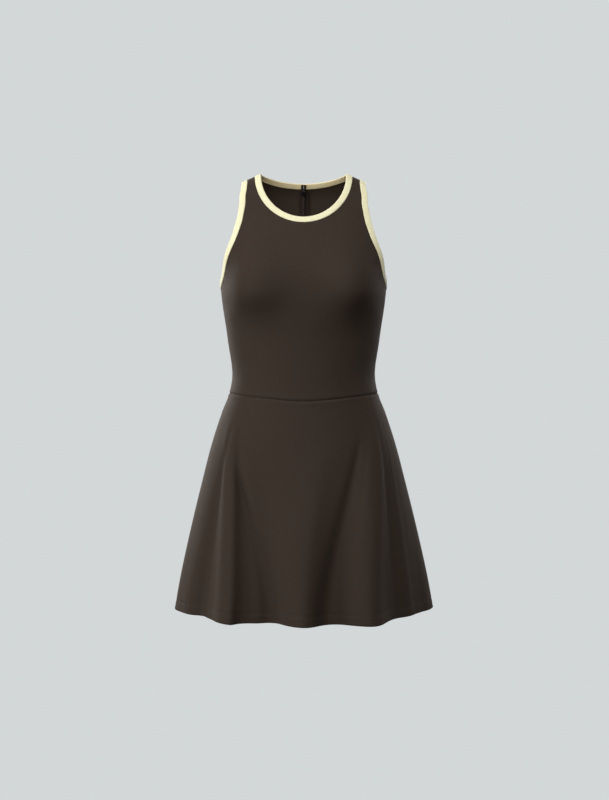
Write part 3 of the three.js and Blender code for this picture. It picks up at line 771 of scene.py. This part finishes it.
def bodice_half(is_back):
    """Points of the left half of a bodice panel, with its seams drawn in."""
    steps = BACK_STEPS if is_back else FRONT_STEPS
    side, centre, neck = steps
    at = row_steps(sum(steps))
    middle = 180.0 - math.degrees(SEAM_GAP / 2 / on_section(HALF, WAIST_SEAM_Z)) if is_back else 0.0
    drop = NECK["back" if is_back else "front"][0]
    low_middle, low_side = waist_seam(middle) + SEAM_GAP / 2, waist_seam(90) + SEAM_GAP / 2
    inner_parts = [
        straight_up(middle, low_middle, UNDERARM_Z),
        straight_up(middle, UNDERARM_Z, NECK["z"] - drop),
        neck_seam(is_back),
    ]
    armhole = (lambda t: armhole_seam(0.5 + t / 2)) if is_back else (lambda t: armhole_seam(0.5 - t / 2))
    outer_parts = [straight_up(90.0, low_side, UNDERARM_Z), armhole]
    inner = legs(inner_parts, steps, at)
    outer = legs(outer_parts, (side, centre + neck), at)

    shares = edge_steps(58, is_back, True, [0, 0.006, 0.014, 0.024, 0.038, 0.056, 0.08])
    turn = inner[0][:, None] * (1 - shares) + outer[0][:, None] * shares
    z = inner[1][:, None] * (1 - shares) + outer[1][:, None] * shares
    straight = low_middle * (1 - shares) + low_side * shares
    z += (waist_seam(turn[0]) + SEAM_GAP / 2 - straight) * np.clip(1 - at / 2, 0, 1)[:, None]
    clear = np.degrees(SEWN_GAP / 2 / on_section(BACK if is_back else FRONT, z))
    turn = np.maximum(turn, 90 + clear) if is_back else np.minimum(turn, 90 - clear)

    points = form(turn, z)
    along_rows, up_columns = lengths(points, 1), lengths(points, 0)
    from_waist, from_shoulder = up_columns, up_columns[-1] - up_columns
    from_side = along_rows[:, -1:] - along_rows
    dip = seam_dip(from_waist, along_rows) - puckers(along_rows, from_waist)
    dip += seam_dip(from_shoulder) * 0.5
    on_side = (at < side - 0.2)[:, None]
    dip += np.where(on_side, seam_dip(from_side) * 0.4 - puckers(up_columns, from_side, depth=0.1 * MM), 0)
    if is_back:
        on_centre = (at < side + centre - 0.3)[:, None]
        dip += np.where(on_centre, seam_dip(along_rows) * 0.45 - puckers(up_columns, along_rows), 0)
    dip += pulls(turn, z)
    points = points - outward(turn, z) * dip[..., None]
    if is_back:
        neck_down = up_columns[np.searchsorted(at, side + centre), 0] - up_columns[:, :1]
        slider_room, room_height, room_width = 0.75 * MM, 2.6 * MM, 5 * MM
        room = slider_room * np.exp(-(((neck_down - SLIDER_DOWN * MM) / room_height) ** 2))
        points[..., 0] += room * np.exp(-((along_rows / room_width) ** 2))
    return points


def mirror(points):
    return (points * np.array([-1, 1, 1]))[:, ::-1]


class DRESS_OT_front_bodice(bpy.types.Operator):
    """Sews the front bodice, one piece from the shoulders to the waist seam"""

    bl_idname = "dress.front_bodice"
    bl_label = "Front bodice"

    def execute(self, context):
        half = bodice_half(False)
        piece = join_grids("front_bodice_cloth", [half, mirror(half)])
        wall = context.scene.dress_cloth.wall
        finish_sheet(piece, "front_bodice", wall, knit_cloth())
        return {"FINISHED"}


class DRESS_OT_back_bodice(bpy.types.Operator):
    """Sews the two back bodice pieces, which meet at the centre back seam"""

    bl_idname = "dress.back_bodice"
    bl_label = "Back bodice"

    def execute(self, context):
        half = bodice_half(True)
        for side, grid in (("left", half[:, ::-1]), ("right", mirror(half[:, ::-1]))):
            node = f"back_bodice_{side}"
            piece = join_grids(f"{node}_cloth", [grid])
            wall = context.scene.dress_cloth.wall
            finish_sheet(piece, node, wall, knit_cloth())
        return {"FINISHED"}


# Skirt

def skirt_grid(first_turn):
    """Points of a skirt piece from hem edge inside, round the fold and up to the waist."""
    sizes = bpy.context.scene.dress_cloth
    fold = 0.9 * MM
    columns = edge_steps(150, True, True, [0, 0.002, 0.005, 0.009, 0.014, 0.02])
    turn = first_turn + 180 * columns
    inside = np.linspace(sizes.hem_depth, fold, 8)
    round_fold = np.radians(np.linspace(-90, 90, 7)[1:-1])
    near_hem, rest = 26 * MM, 342 * MM
    up = np.concatenate([np.linspace(fold, near_hem, 14), near_hem + rest * np.linspace(0, 1, 72)[1:]])
    top_gaps = np.array([9, 6.5, 4.8, 3.5, 2.5, 1.6, 0.8, 0]) * MM

    top = waist_seam(turn) - SEAM_GAP / 2
    depth = top - HEM_Z
    low = np.concatenate([inside, fold - fold * np.cos(round_fold), up])
    out = np.concatenate([np.full(len(inside), -fold), fold * np.sin(round_fold), np.full(len(up), fold)])
    out -= fold * 0.75
    level_rows, under_gaps = 30 * MM, 9.5 * MM
    shares = np.clip((low - level_rows) / (low[-1] - level_rows), 0, 1)[:, None]
    z = HEM_Z + low[:, None] + shares * (depth - under_gaps - low[-1])
    z = np.concatenate([z, top - top_gaps[:, None]])
    out = np.concatenate([out, np.full(len(top_gaps), out[-1])])[:, None]
    gap = np.degrees(SEWN_GAP / 2 / on_section(FRONT, z))
    turn = np.clip(turn[None, :], first_turn + gap, first_turn + 180 - gap)

    points = form(turn, z)
    along, up_lengths = lengths(points, 1), lengths(points, 0)
    from_top = up_lengths[-1] - up_lengths
    from_first, from_last = along, along[:, -1:] - along
    is_outer = np.arange(len(z))[:, None] >= len(inside) + len(round_fold)
    dip = np.where(is_outer, seam_dip(from_top, along) - puckers(along, from_top), 0)
    for from_side in (from_first, from_last):
        side_dip = seam_dip(from_side) * 0.35 - puckers(up_lengths, from_side, depth=0.1 * MM)
        dip += np.where(is_outer, side_dip, 0)
    stitch_line = HEM_Z + sizes.hem_depth - bpy.context.scene.dress_stitches.row_gap / 2
    pressed = 0.35 * MM * np.exp(-(((z - stitch_line) / (2.2 * MM)) ** 2))
    draw = puckers(along, np.abs(z - stitch_line), pitch=11 * MM, depth=0.16 * MM, reach=9 * MM)
    dip += np.where(is_outer, pressed - draw, -draw)
    return points + outward(turn, z) * (out - dip + creases(turn, z))[..., None]


class DRESS_OT_skirt(bpy.types.Operator):
    """Sews the two flared skirt pieces, each with its hem turned up inside"""

    bl_idname = "dress.skirt"
    bl_label = "Skirt"

    def execute(self, context):
        for name, first_turn, above in (
            ("front_skirt", -90.0, ["front_bodice_cloth"]),
            ("back_skirt", 90.0, ["back_bodice_left_cloth", "back_bodice_right_cloth"]),
        ):
            piece = join_grids(f"{name}_cloth", [skirt_grid(first_turn)])
            wall = context.scene.dress_cloth.skirt_wall
            finish_sheet(piece, name, wall, knit_cloth())
        return {"FINISHED"}


# Bindings

def neck_path(per_step=6):
    """Turns and heights round the neck seam, from the left of the zip to its right."""
    back = even_places(neck_seam(True), np.linspace(0, 1, BACK_STEPS[2] * per_step + 1))
    front = even_places(neck_seam(False), np.linspace(0, 1, FRONT_STEPS[2] * per_step + 1))
    back[0][0] = 180 - math.degrees(NECK_OPENING / 2 * MM / on_section(HALF, back[1][0]))
    turn = np.concatenate([back[0], front[0][-2::-1]])
    z = np.concatenate([back[1], front[1][-2::-1]])
    return np.concatenate([turn, -turn[-2::-1]]), np.concatenate([z, z[-2::-1]])


def armhole_path(side, per_step=5):
    """Turns and heights round an armhole seam, from the shoulder down the front and up the back."""
    front_steps, back_steps = sum(FRONT_STEPS[1:]) * per_step, sum(BACK_STEPS[1:]) * per_step
    front = even_places(lambda t: armhole_seam(t / 2), np.linspace(0, 1, front_steps + 1))
    back = even_places(lambda t: armhole_seam(0.5 + t / 2), np.linspace(0, 1, back_steps + 1))
    turn = np.concatenate([front[0][:-1], back[0][:-1]])
    return side * turn, np.concatenate([front[1][:-1], back[1][:-1]])


def binding_frames(path, closed, to_opening):
    """Points along a seam, with the directions out of the cloth and across to the opening."""
    turn, z = path
    points, out = form(turn, z), outward(turn, z)
    if closed:
        run = np.roll(points, -1, 0) - np.roll(points, 1, 0)
    else:
        run = np.gradient(points, axis=0)
    across = np.cross(out, run) * to_opening
    return points, out, across / np.linalg.norm(across, axis=-1, keepdims=True)


def binding_profile():
    """A folded strip in section, from the seam outside, over the fold, to the seam inside: across and out."""
    sizes = bpy.context.scene.dress_binding
    layer = (sizes.height - sizes.wall) / 2
    straight = np.linspace(SEWN_GAP, sizes.width - layer, 8)
    crown = 0.22 * MM * np.sin(np.linspace(0, 1, 8) * math.pi)
    corner = np.radians(np.linspace(90, 0, 5)[1:])
    across = np.concatenate([straight, sizes.width - layer + layer * np.cos(corner)])
    out = np.concatenate([layer + crown, layer * np.sin(corner)])
    return np.concatenate([across, across[-2::-1]]), np.concatenate([out, -out[-2::-1]])


def binding_strip(name, node, path, closed, to_opening):
    """One binding: a strip folded over the edge of the cloth, along a seam."""
    points, out, across = binding_frames(path, closed, to_opening)
    wide, high = binding_profile()
    grid = points[:, None] + across[:, None] * wide[None, :, None] + out[:, None] * high[None, :, None]
    ripple = 0.10 * MM * np.sin(lengths(points)[:, None] / (3.1 * MM)) * np.exp(-((wide / (3 * MM)) ** 2))
    grid += out[:, None] * (ripple * np.sign(high))[..., None]
    if closed:
        grid = np.concatenate([grid, grid[:1]])
    run, section = lengths(grid[:, 0]), lengths(np.stack([wide, high], -1))
    flat = np.stack(np.broadcast_arrays(run[:, None], section[None, :]), -1)
    turn_over = slice(None, None, 1 if to_opening > 0 else -1)
    piece = join_grids(name, [grid[:, turn_over]], [flat[:, turn_over]])
    edit(piece, bpy.ops.mesh.normals_make_consistent, inside=False)
    apply_modifier(piece, "SOLIDIFY", thickness=bpy.context.scene.dress_binding.wall, offset=0)
    shade_smooth(piece)
    finish(piece, binding_cloth(), node)


class DRESS_OT_bindings(bpy.types.Operator):
    """Folds the cream bindings over the edges of the neck and both armholes"""

    bl_idname = "dress.bindings"
    bl_label = "Bindings"

    def execute(self, context):
        binding_strip("neck_binding_strip", "neck_binding", neck_path(), False, -1)
        for name, side in (("left", 1), ("right", -1)):
            node = f"armhole_binding_{name}"
            binding_strip(f"{node}_strip", node, armhole_path(side), True, side)
        return {"FINISHED"}


# Stitching

def stitch_shape():
    """One stitch of unit length along X, thickest in the middle, its ends sunk into the cloth."""
    rings = ((-0.5, 0.45, -0.55), (-0.3, 1.0, 0.1), (0.3, 1.0, 0.1), (0.5, 0.45, -0.55))
    sides = 6
    points, faces = [], []
    for along, radius, high in rings:
        for k in range(sides):
            angle = 2 * math.pi * k / sides
            points.append((along, radius * math.cos(angle), high + radius * math.sin(angle)))
    for ring in range(len(rings) - 1):
        for k in range(sides):
            a, b = ring * sides + k, ring * sides + (k + 1) % sides
            faces.append((a, a + sides, b + sides, b))
    faces.append(tuple(range(sides)))
    faces.append(tuple(reversed(range((len(rings) - 1) * sides, len(rings) * sides))))
    return np.array(points), faces


def stitch_row(points, out, closed=False):
    """Places of stitches along a line on the cloth: centre, direction along it, and direction out."""
    sizes = bpy.context.scene.dress_stitches
    if closed:
        points, out = np.concatenate([points, points[:1]]), np.concatenate([out, out[:1]])
    along = lengths(points)
    count = int(along[-1] / (sizes.length + sizes.gap))
    at = (np.arange(count) + 0.5) * along[-1] / count

    def between(values, where):
        return np.stack([np.interp(where, along, values[:, k]) for k in range(3)], -1)

    start, end = between(points, at - sizes.length / 2), between(points, at + sizes.length / 2)
    return (start + end) / 2, end - start, between(out, at)


def sew(name, rows, material):
    """One object from rows of stitches."""
    radius = bpy.context.scene.dress_stitches.thickness / 2
    centres, runs, outs = (np.concatenate(part) for part in zip(*rows))
    sides = np.cross(outs, runs)
    sides *= radius / np.linalg.norm(sides, axis=-1, keepdims=True)
    highs = np.cross(runs, sides)
    highs *= radius / np.linalg.norm(highs, axis=-1, keepdims=True)
    piece = copies(name, *stitch_shape(), centres, np.stack([runs, sides, highs], 1))
    edit(piece, bpy.ops.mesh.normals_make_consistent, inside=False)
    finish(piece, material)


class DRESS_OT_hem_stitching(bpy.types.Operator):
    """Sews two rows of twin-needle stitches round the hem"""

    bl_idname = "dress.hem_stitching"
    bl_label = "Hem stitching"

    def execute(self, context):
        cloth, stitches = context.scene.dress_cloth, context.scene.dress_stitches
        rows = []
        for row in (0, 1):
            z = HEM_Z + cloth.hem_depth - row * stitches.row_gap
            turn = np.linspace(-90, 270, 1441)[:-1]
            points = lifted(turn, z, HEM_STITCH_RISE + creases(turn, z))
            rows.append(stitch_row(points, outward(turn, z), True))
        sew("hem_stitches", rows, sewing_thread("dark_thread", stitches.colour))
        return {"FINISHED"}


class DRESS_OT_binding_stitching(bpy.types.Operator):
    """Sews a row of stitches along each binding near its seam, on both faces"""

    bl_idname = "dress.binding_stitching"
    bl_label = "Binding stitching"

    def execute(self, context):
        sizes = context.scene.dress_binding
        thread = sewing_thread("cream_thread", sizes.thread_colour)
        from_seam = SEAM_GAP + 1.1 * MM
        for name, path, closed, to_opening in (
            ("neck_binding_stitches", neck_path(), False, -1),
            ("armhole_left_stitches", armhole_path(1), True, 1),
            ("armhole_right_stitches", armhole_path(-1), True, -1),
        ):
            points, out, across = binding_frames(path, closed, to_opening)
            line = points + across * from_seam
            high = sizes.height / 2 + 0.06 * MM
            rows = [stitch_row(line + out * high, out, closed), stitch_row(line - out * high, -out, closed)]
            sew(name, rows, thread)
        return {"FINISHED"}


# Zip

def zip_line(x, down, depth):
    """Points of the zip beside the centre back seam: distances down from the neck seam, in metres."""
    heights = np.linspace(NECK["z"] - NECK["back"][0], -300 * MM, 800)
    along = lengths(form(180.0, heights))
    z = np.interp(np.clip(down, 0, None), along, heights)
    turn = 180 - np.degrees(np.arcsin(x / on_section(HALF, z)))
    points = lifted(turn, z, -np.asarray(depth))
    up = np.cross([1.0, 0, 0], outward(180.0, heights[:1])[0])
    return points + up * np.clip(-down, 0, None)[..., None]


class DRESS_OT_zip_tapes(bpy.types.Operator):
    """Lays the two tapes of the concealed zip along the centre back seam, and stitches them"""

    bl_idname = "dress.zip_tapes"
    bl_label = "Zip tapes"

    def execute(self, context):
        down = [np.linspace(TAPE_TOP, 0, 9), np.linspace(1.5, 12, 8), np.linspace(15, TAPE_BOTTOM, 70)]
        down = np.concatenate(down) * MM
        settle = np.clip(down / (12 * MM), 0, 1)
        settle = settle * settle * (3 - 2 * settle)
        width = (TAPE_WIDTH_AT_NECK + (TAPE_WIDTH - TAPE_WIDTH_AT_NECK) * settle) * MM
        depth = (TAPE_DEPTH_AT_NECK + (TAPE_DEPTH - TAPE_DEPTH_AT_NECK) * settle) * MM
        opened = np.clip((down - 1.2 * MM) / (2 * MM), 0, 1)
        slit = (TAPE_SLIT_AT_NECK + (TAPE_SLIT - TAPE_SLIT_AT_NECK) * opened) * MM
        rows = []
        for name, side in (("left", 1), ("right", -1)):
            x = side * (slit[:, None] + width[:, None] * np.linspace(0, 1, 7))
            grid = zip_line(x, down[:, None], depth[:, None])
            piece = join_grids(f"zip_tape_{name}_weave", [grid if side < 0 else grid[:, ::-1]])
            node, back = f"zip_tape_{name}", [f"back_bodice_{name}_cloth"]
            finish_sheet(piece, node, TAPE_WALL * MM, woven_tape(), True)
            x = side * (TAPE_SLIT + TAPE_WIDTH - TAPE_STITCHES_FROM_EDGE) * MM
            line = zip_line(x, down[14:], (TAPE_DEPTH + TAPE_STITCHES_OUT) * MM)
            usual_half_width = 160 * MM
            turn = 180 - math.degrees(math.asin(x / usual_half_width))
            rows.append(stitch_row(line, -outward(turn, line[:, 2])))
        thread = sewing_thread("dark_thread", context.scene.dress_stitches.colour)
        sew("zip_tape_stitches", rows, thread)
        return {"FINISHED"}


def coil_loop():
    """One loop of the zip's coil, made at the origin and returned as points and faces."""
    clear_selection()
    radius, thread = (COIL_WIDTH - COIL_THREAD) / 2 * MM, COIL_THREAD / 2 * MM
    segments = {"major_segments": 20, "minor_segments": 8}
    bpy.ops.mesh.primitive_torus_add(major_radius=radius, minor_radius=thread, **segments)
    loop = bpy.context.object
    edit(loop, bpy.ops.transform.resize, value=(1.0, 0.42, 1.0))
    points = np.array([tuple(v.co) for v in loop.data.vertices])
    faces = [tuple(face.vertices) for face in loop.data.polygons]
    bpy.data.meshes.remove(loop.data)
    return points, faces


class DRESS_OT_zip_coil(bpy.types.Operator):
    """Winds the closed nylon coil of the zip, one loop copied down the seam"""

    bl_idname = "dress.zip_coil"
    bl_label = "Zip coil"

    def execute(self, context):
        downs = np.arange(ZIP_TOP + 0.6, ZIP_BOTTOM - 0.6, COIL_PITCH) * MM
        centres, ahead = (zip_line(0.0, downs + step, COIL_DEPTH * MM) for step in (0, 0.5 * MM))
        along = (ahead - centres) / np.linalg.norm(ahead - centres, axis=-1, keepdims=True)
        across = np.array([1.0, 0, 0])
        lean = 0.22 * along
        lean[1::2] *= -1
        axes = np.stack([across + lean, np.cross(along, across), along], 1)
        piece = copies("zip_coil_loops", *coil_loop(), centres, axes)
        finish(piece, coil_nylon(), "zip_coil")
        return {"FINISHED"}


def softened(node, name, body, width):
    """A copy of a hard CAD piece with its edges rounded over."""
    piece = bpy.data.objects.new(name, bpy.data.objects[node].data.copy())
    bpy.context.scene.collection.objects.link(piece)
    edit(piece, bpy.ops.mesh.remove_doubles, threshold=0.005 * MM)
    edit(piece, bpy.ops.mesh.dissolve_limited, angle_limit=math.radians(2))
    edges = {"limit_method": "ANGLE", "angle_limit": math.radians(35)}
    apply_modifier(piece, "BEVEL", width=width, segments=3, **edges)
    bpy.ops.object.shade_smooth_by_angle(angle=math.radians(30))
    piece.data.materials.clear()
    finish(piece, slider_metal(), node, body)


class DRESS_OT_zip_hardware(bpy.types.Operator):
    """Finishes the zip's slider, pull tab and bottom stop in grey metal"""

    bl_idname = "dress.zip_hardware"
    bl_label = "Zip slider and pull"

    def execute(self, context):
        softened("zip_slider", "zip_slider_body", "dress", 0.25 * MM)
        softened("zip_pull", "zip_pull_tab", "pull", 0.22 * MM)
        softened("zip_stop", "zip_bottom_stop", "dress", 0.4 * MM)
        return {"FINISHED"}


# Stage

def soft_light(name, azimuth, elevation, size, power, colour):
    """A soft box aimed at the dress: azimuth 0 is behind the camera, 90 at the wearer's left."""
    data = bpy.data.lights.new(name, "AREA")
    data.shape, data.size, data.size_y = "RECTANGLE", *size
    data.energy, data.color = power, colour
    light = bpy.data.objects.new(name, data)
    a, e = math.radians(azimuth), math.radians(elevation)
    way = Vector((math.sin(a) * math.cos(e), -math.cos(a) * math.cos(e), math.sin(e)))
    light.location = Vector(LIGHT_AIM) + way * LIGHT_DISTANCE
    light.rotation_euler = (-way).to_track_quat("-Z", "Y").to_euler()
    light.visible_camera = False
    bpy.context.scene.collection.objects.link(light)


def backdrop_glow(tree):
    """Strength of the pale backdrop: full where it is seen, and dim where it only lights the dress."""
    seen = add_node(tree, "ShaderNodeLightPath").outputs["Is Camera Ray"]
    return math_node(tree, "MULTIPLY_ADD", seen, 1 - BACKDROP_LIGHT, BACKDROP_LIGHT)


def floor_material():
    material = bpy.data.materials.new("pale_floor")
    material.use_nodes = True
    tree = material.node_tree
    tree.nodes.clear()
    glow = add_node(tree, "ShaderNodeEmission", Color=BACKDROP_COLOUR, Strength=backdrop_glow(tree))
    output = add_node(tree, "ShaderNodeOutputMaterial")
    tree.links.new(glow.outputs[0], output.inputs["Surface"])
    return material


def add_camera():
    data = bpy.data.cameras.new("camera")
    data.sensor_width = 36.0
    data.lens = data.sensor_width * CAMERA_DISTANCE / (PHOTO_SIZE[1] * METRES_PER_PIXEL)
    data.shift_y = (PHOTO_HORIZON_Y - PHOTO_SIZE[1] / 2) / PHOTO_SIZE[1]
    camera = bpy.data.objects.new("camera", data)
    aside = (PHOTO_SIZE[0] / 2 - PHOTO_CENTRE_X) * METRES_PER_PIXEL
    camera.location = (aside, -CAMERA_DISTANCE, CAMERA_HEIGHT)
    camera.rotation_euler = (math.pi / 2, 0, 0)
    bpy.context.scene.collection.objects.link(camera)
    bpy.context.scene.camera = camera


class DRESS_OT_stage(bpy.types.Operator):
    """Sets up the pale floor, the soft lights and the camera"""

    bl_idname = "dress.stage"
    bl_label = "Stage"

    def execute(self, context):
        clear_selection()
        bpy.ops.mesh.primitive_plane_add(size=FLOOR_SIZE, location=(0, 0, FLOOR_Z))
        floor = bpy.context.object
        floor.name = "floor"
        floor.data.materials.append(floor_material())
        world = bpy.data.worlds.new("studio")
        world.use_nodes = True
        background = world.node_tree.nodes["Background"]
        background.inputs["Color"].default_value = BACKDROP_COLOUR
        world.node_tree.links.new(backdrop_glow(world.node_tree), background.inputs["Strength"])
        context.scene.world = world
        for row in LIGHTS:
            soft_light(*row)
        context.scene.view_settings.view_transform = "Standard"
        context.scene.view_settings.look = "None"
        add_camera()
        return {"FINISHED"}


class DRESS_PT_pieces(bpy.types.Panel):
    """Lists the pieces of the dress"""

    bl_idname = "DRESS_PT_pieces"
    bl_label = "Sports dress"
    bl_space_type = "VIEW_3D"
    bl_region_type = "UI"
    bl_category = "Dress"

    def draw(self, context):
        for group in ("dress_cloth", "dress_binding", "dress_stitches"):
            box = self.layout.box()
            settings = getattr(context.scene, group)
            for key in settings.__annotations__:
                box.prop(settings, key)
        for operator in OPERATORS:
            self.layout.operator(operator.bl_idname)


GROUPS = {"dress_cloth": DressCloth, "dress_binding": DressBinding, "dress_stitches": DressStitches}
OPERATORS = (
    DRESS_OT_stage,
    DRESS_OT_front_bodice,
    DRESS_OT_back_bodice,
    DRESS_OT_skirt,
    DRESS_OT_bindings,
    DRESS_OT_hem_stitching,
    DRESS_OT_binding_stitching,
    DRESS_OT_zip_tapes,
    DRESS_OT_zip_coil,
    DRESS_OT_zip_hardware,
)


def register():
    for name, group in GROUPS.items():
        bpy.utils.register_class(group)
        setattr(bpy.types.Scene, name, PointerProperty(type=group))
    for kind in (*OPERATORS, DRESS_PT_pieces):
        bpy.utils.register_class(kind)


def unregister():
    for kind in (DRESS_PT_pieces, *reversed(OPERATORS)):
        bpy.utils.unregister_class(kind)
    for name, group in GROUPS.items():
        delattr(bpy.types.Scene, name)
        bpy.utils.unregister_class(group)


def main():
    register()
    for operator in OPERATORS:
        group, name = operator.bl_idname.split(".")
        getattr(getattr(bpy.ops, group), name)()


if __name__ == "__main__":
    main()
